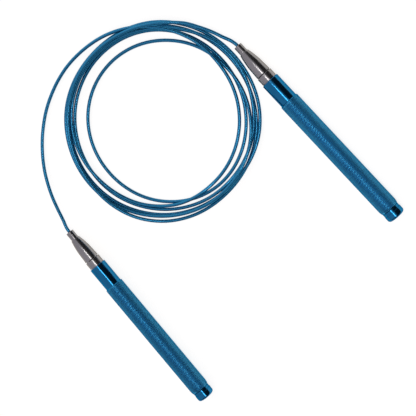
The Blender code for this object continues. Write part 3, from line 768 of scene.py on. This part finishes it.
def coil_plan(points_a_loop):
    """Angles and floor places of points along the coil, going clockwise."""
    count = round((COIL_START - COIL_END) / 360.0 * points_a_loop)
    angles = COIL_START - 360.0 / points_a_loop * np.arange(count + 1)
    eighths = (FIRST_ANGLE - angles) / 360.0 * RADII_PER_TURN
    radii = smooth_curve(COIL_RADII, np.arange(len(COIL_RADII)), eighths)
    turns = np.radians(angles)
    return angles, np.stack([np.cos(turns), np.sin(turns)], axis=1) * radii[:, None] + COIL_CENTRE


def coil_heights(angles, plan):
    """Heights of the coil's points when each pass is laid over those below it."""
    passes = np.clip(np.floor((PASS_ANGLE - angles) / 360.0), 0, len(LAY_ORDER) - 1).astype(int)
    run = np.repeat(np.arange(len(plan) - 1), LAY_STEPS)
    share = np.tile(np.arange(LAY_STEPS) / LAY_STEPS, len(plan) - 1)
    places = plan[run] + (plan[run + 1] - plan[run]) * share[:, None]
    order = np.array([LAY_ORDER.index(number) for number in passes])[run]
    apart = np.linalg.norm(places[:, None] - places[None], axis=2)
    reach = CABLE_DIA + LAY_GAP
    other_loop = np.abs(run[:, None] - run[None]) > LOOP_POINTS // 2
    above = (apart < reach) & other_loop & (order[:, None] > order[None])
    lift = np.sqrt(np.maximum(reach ** 2 - apart ** 2, 0.0))
    climb = LAY_SLOPE * np.linalg.norm(np.diff(plan, axis=0), axis=1)
    weight = (1 - share) ** 2 + share ** 2
    heights = np.full(len(plan), CABLE_R)
    heights[-1] = CABLE_R + COIL_EXIT_LIFT
    settled = False
    while not settled:
        laid = heights[run] + (heights[run + 1] - heights[run]) * share
        lack = np.maximum(np.where(above, laid[None] + lift, 0.0).max(axis=1) - laid, 0.0)
        rise = np.zeros(len(plan))
        np.maximum.at(rise, run, lack * (1 - share) / weight)
        np.maximum.at(rise, run + 1, lack * share / weight)
        raised = heights + LAY_EASE * rise
        for i in range(1, len(plan)):
            raised[i] = max(raised[i], raised[i - 1] - climb[i - 1])
        for i in range(len(plan) - 2, -1, -1):
            raised[i] = max(raised[i], raised[i + 1] - climb[i])
        settled = np.max(raised - heights) < LAY_SETTLED
        heights = raised
    return heights


def lead_places(side):
    """Places along a free lead, from inside the tip to the coil."""
    tip, heading = HANDLES[side]
    out = -np.array([math.cos(math.radians(heading)), math.sin(math.radians(heading)), 0.0])
    front = np.array([*tip, AXIS_HEIGHT])
    lying = np.array(LEAD_ROUTES[side]) + (0.0, 0.0, CABLE_R)
    return np.array([front - out * CABLE_ENTRY, front + out * LEAD_STRAIGHT, *lying])


def cable_path():
    """Evenly spaced points along the whole cable, from the tip of handle B to that of A."""
    angles, plan = coil_plan(LOOP_POINTS)
    heights = coil_heights(angles, plan)
    fine_angles, fine_plan = coil_plan(FINE_POINTS)
    along = (COIL_START - fine_angles) / 360.0 * LOOP_POINTS
    fine_heights = smooth_curve(heights, np.arange(len(heights)), along)
    coil = np.column_stack([fine_plan, fine_heights])
    places = np.concatenate([lead_places("b"), coil, lead_places("a")[::-1]])
    knots = lengths_along(places)
    count = round(knots[-1] / RING_SPACING)
    points = smooth_curve(places, knots, np.linspace(0.0, knots[-1], count + 1))
    points[:, 2] = np.maximum(points[:, 2], COAT_R)
    return points


def tube(name, centres, across, over, radii, turns):
    """Closed tube, with a ring of the radii about each centre at the turns from across to over."""
    rings = centres[:, None] + radii[None, :, None] * (
        np.cos(turns)[:, :, None] * across[:, None] + np.sin(turns)[:, :, None] * over[:, None]
    )
    facets = len(radii)
    vertices = np.concatenate([rings.reshape(-1, 3), centres[:1], centres[-1:]])
    here = np.arange(len(centres) - 1)[:, None] * facets + np.arange(facets)[None]
    beside = np.arange(len(centres) - 1)[:, None] * facets + (np.arange(facets)[None] + 1) % facets
    sides = np.stack([here, beside, beside + facets, here + facets], axis=2).reshape(-1, 4)
    first = len(centres) * facets
    last_ring = (len(centres) - 1) * facets
    ends = []
    for k in range(facets):
        n = (k + 1) % facets
        ends.append((first, n, k))
        ends.append((first + 1, last_ring + k, last_ring + n))
    data = bpy.data.meshes.new(name)
    data.from_pydata(vertices.tolist(), [], sides.tolist() + ends)
    data.shade_smooth()
    data.update()
    piece = bpy.data.objects.new(name, data)
    bpy.context.scene.collection.objects.link(piece)
    return piece


def spring(side):
    """Coil of round wire behind the plunger, which moves with the tip."""
    count = round(SPRING_TURNS * SPRING_STEPS)
    share = np.arange(count + 1) / count
    winding = 2 * np.pi * SPRING_TURNS * share
    outwards = np.stack([np.cos(winding), np.sin(winding), np.zeros(count + 1)], axis=1)
    rearwards = np.tile([0.0, 0.0, 1.0], (count + 1, 1))
    depth = SPRING_FRONT + SPRING_WIRE_R + (SPRING_LENGTH - 2 * SPRING_WIRE_R) * share
    centres = SPRING_R * outwards + depth[:, None] * rearwards
    turns = np.tile(2 * np.pi * np.arange(SPRING_FACETS) / SPRING_FACETS, (count + 1, 1))
    radii = np.full(SPRING_FACETS, SPRING_WIRE_R)
    piece = tube(f"spring_{side}", centres, rearwards, outwards, radii, turns)
    piece.data.set_sharp_from_angle(angle=SHARP_ANGLE)
    piece.data.materials.append(SPRING_STEEL)
    mount(piece, side, f"release_{side}", f"lock_spring_{side}")
    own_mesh(piece)


def cable_tube(name, points, twist):
    """Closed tube along the points, fluted by the wires that wind round it."""
    heading = np.gradient(points, axis=0)
    heading /= np.linalg.norm(heading, axis=1)[:, None]
    across = np.empty_like(points)
    side = np.cross(heading[0], (0.0, 0.0, 1.0))
    for i, ahead in enumerate(heading):
        side = side - ahead * np.dot(side, ahead)
        side = side / np.linalg.norm(side)
        across[i] = side
    over = np.cross(heading, across)
    level = np.tile(WIRE_LEVELS, WIRES)
    facets = len(level)
    radius = COAT_R - WIRE_GROOVE * (1 - level)
    turns = 2 * np.pi * np.arange(facets) / facets + twist[:, None]
    piece = tube(name, points, across, over, radius, turns)
    piece.data.materials.append(CABLE_COAT)
    # Crest level of each point; the cable's material darkens it towards the grooves as painted
    # shade.
    crest = piece.data.attributes.new("crest", "FLOAT", "POINT")
    levels = np.concatenate([np.tile(level, len(points)), [WIRE_END_LEVEL, WIRE_END_LEVEL]])
    crest.data.foreach_set("value", levels.astype(np.float32))
    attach(piece, "rope")
    return piece


def cable():
    """Cable from handle to handle, and the tails that run on into them."""
    path = cable_path()
    along = lengths_along(path)
    turn = 2 * np.pi / WIRE_LAY
    rope = cable_tube("cable", path, turn * along)
    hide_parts("cable_coil", "cable_lead_a", "cable_lead_b")
    count = round(TAIL_LENGTH / RING_SPACING)
    depth = np.linspace(TAIL_FRONT, TAIL_LENGTH, count + 1)
    for side, start in (("a", along[-1]), ("b", 0.0)):
        tip, heading = HANDLES[side]
        inwards = np.array([math.cos(math.radians(heading)), math.sin(math.radians(heading)), 0.0])
        points = np.array([*tip, AXIS_HEIGHT]) + depth[:, None] * inwards
        tail = cable_tube(f"cable_end_{side}", points, turn * (start + depth))
        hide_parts(f"cable_tail_{side}")


# Stage

# Camera, fitted to the photo: its lean from straight down, and what it looks at on the floor
CAMERA_TILT = math.radians(18.138)
CAMERA_AZIMUTH = math.radians(48.043)
CAMERA_DISTANCE = 0.73308
CAMERA_TARGET = Vector((-0.01689, 0.01455, 0.0))
CAMERA_LENS = 85.0
CAMERA_CLIP = (0.01, 50.0)
SENSOR_WIDTH = 36.0


def camera():
    """Camera above the rope, at the photo's viewing angle."""
    lean = Vector((math.cos(CAMERA_AZIMUTH), math.sin(CAMERA_AZIMUTH), 0.0))
    back = Vector((0.0, 0.0, math.cos(CAMERA_TILT))) + lean * math.sin(CAMERA_TILT)
    right = Vector((0.0, 1.0, 0.0)).cross(back).normalized()
    up = back.cross(right)
    data = bpy.data.cameras.new("photo_camera")
    data.lens = CAMERA_LENS
    data.sensor_width = SENSOR_WIDTH
    data.clip_start, data.clip_end = CAMERA_CLIP
    eye = bpy.data.objects.new("photo_camera", data)
    turn = Matrix((right, up, back)).transposed().to_4x4()
    eye.matrix_world = Matrix.Translation(CAMERA_TARGET + back * CAMERA_DISTANCE) @ turn
    bpy.context.scene.collection.objects.link(eye)
    bpy.context.scene.camera = eye


# Directions across and along the handles, on the floor
ACROSS_HEADING = math.radians(42.6)
ACROSS = Vector((math.cos(ACROSS_HEADING), math.sin(ACROSS_HEADING), 0.0))
ALONG = Vector((ACROSS.y, -ACROSS.x, 0.0))
FLOOR_HALF = 6.0
FLOOR_DROP = 0.0001
# Floor's paper, and the glow that adds what the studio's light leaves short of white
FLOOR_PAPER = (0.36, 0.34, 0.31)
FLOOR_GLOW = 0.83


# Studio round the handles: a pale wall beside them, a bright one past their tips, and a dim room
SIDE_WALL = (0.59, 0.57, 0.65)
TIP_WALL = (1.15, 1.15, 1.20)
DIM_ROOM = (0.030, 0.030, 0.034)
# Where these begin and are full: lean from straight up, and share of the way along the handles
DIM_LEAN = (math.radians(8), math.radians(30))
DIM_PAST_CAPS = (0.3, 0.7)
CAP_END_DIMNESS = 0.75
TIP_WALL_PAST = (-0.56, -0.82)


def floor():
    """Floor that is white to the camera, in metal and in glass, and keeps the rope's shadow."""
    data = bpy.data.meshes.new("floor")
    corners = [(-1, -1), (1, -1), (1, 1), (-1, 1)]
    vertices = [(x * FLOOR_HALF, y * FLOOR_HALF, -FLOOR_DROP) for x, y in corners]
    data.from_pydata(vertices, [], [(0, 1, 2, 3)])
    piece = bpy.data.objects.new("floor", data)
    bpy.context.scene.collection.objects.link(piece)
    material = bpy.data.materials.new("white_floor")
    material.use_nodes = True
    tree = material.node_tree
    tree.nodes.clear()
    paper = add_node(material, "ShaderNodeBsdfDiffuse", {"Color": (*FLOOR_PAPER, 1.0)})
    rays = add_node(material, "ShaderNodeLightPath").outputs
    seen = maths(material, "MAXIMUM", rays["Is Camera Ray"], rays["Is Transmission Ray"])
    shown = maths(material, "MAXIMUM", seen, rays["Is Glossy Ray"])
    strength = maths(material, "MULTIPLY", shown, FLOOR_GLOW)
    glow = add_node(material, "ShaderNodeEmission", {"Strength": strength})
    layers = {0: paper.outputs["BSDF"], 1: glow.outputs["Emission"]}
    both = add_node(material, "ShaderNodeAddShader", layers)
    add_node(material, "ShaderNodeOutputMaterial", {"Surface": both.outputs["Shader"]})
    data.materials.append(material)


def world():
    """Studio with pale walls, and a dim room on the far side of the handles and past their caps."""
    surroundings = bpy.data.worlds.new("studio")
    surroundings.use_nodes = True
    bpy.context.scene.world = surroundings
    tree = surroundings.node_tree
    tree.nodes.clear()
    heading = add_node(surroundings, "ShaderNodeTexCoord").outputs["Generated"]
    across = dot_product(surroundings, heading, ACROSS)
    high = add_node(surroundings, "ShaderNodeSeparateXYZ", {"Vector": heading}).outputs["Z"]
    lean = maths(surroundings, "ARCTAN2", across, high)
    along = dot_product(surroundings, heading, ALONG)

    def rise(value, reach, top=1.0):
        limits = {"Value": value, "From Min": reach[0], "From Max": reach[1], "To Max": top}
        node = add_node(surroundings, "ShaderNodeMapRange", limits, interpolation_type="SMOOTHSTEP")
        return node.outputs["Result"]

    far_side = rise(lean, DIM_LEAN)
    past_caps = rise(along, DIM_PAST_CAPS, CAP_END_DIMNESS)
    dim = maths(surroundings, "MAXIMUM", far_side, past_caps)
    sides = ramp(surroundings, dim, [(0.0, SIDE_WALL), (1.0, DIM_ROOM)])
    past_tips = rise(along, TIP_WALL_PAST)
    beside = add_node(surroundings, "ShaderNodeBackground", {"Color": sides})
    tips = add_node(surroundings, "ShaderNodeBackground", {"Color": (*TIP_WALL, 1.0)})
    studio = add_node(
        surroundings,
        "ShaderNodeMixShader",
        {0: past_tips, 1: beside.outputs["Background"], 2: tips.outputs["Background"]},
    )
    add_node(surroundings, "ShaderNodeOutputWorld", {"Surface": studio.outputs["Shader"]})


# Soft box above the rope
LAMP_HEIGHT = 0.79
LAMP_ACROSS = 0.117
LAMP_ALONG = 0.15
LAMP_LENGTH = 0.70
LAMP_WIDTH = 0.09
LAMP_RADIANCE = 8.0


def lamp():
    """Long soft box over the handles."""
    data = bpy.data.lights.new("soft_box", "AREA")
    data.shape = "RECTANGLE"
    data.size = LAMP_LENGTH
    data.size_y = LAMP_WIDTH
    data.energy = LAMP_RADIANCE * math.pi * LAMP_LENGTH * LAMP_WIDTH
    box = bpy.data.objects.new("soft_box", data)
    place = ACROSS * LAMP_ACROSS + ALONG * LAMP_ALONG + Vector((0.0, 0.0, LAMP_HEIGHT))
    turn = Matrix.Rotation(math.atan2(ALONG.y, ALONG.x), 4, "Z")
    box.matrix_world = Matrix.Translation(place) @ turn
    box.visible_camera = False
    bpy.context.scene.collection.objects.link(box)


for row in frame["record"]["subparts"]:
    node = frame["nodes"][row["node"]]
    node.data.materials.clear()
    node.data.materials.append(SLOT_MATERIALS[row["material_slot"]])
for handle in HANDLES:
    release_tip(handle)
    spring(handle)
    nose(handle)
    front_ring(handle)
    # Black washer of painted shade in the gap behind the nose
    gap_shade_washer(handle)
    grip(handle)
    end_cap(handle)
cable()
camera()
floor()
world()
lamp()
bpy.context.scene.view_settings.view_transform = "Standard"
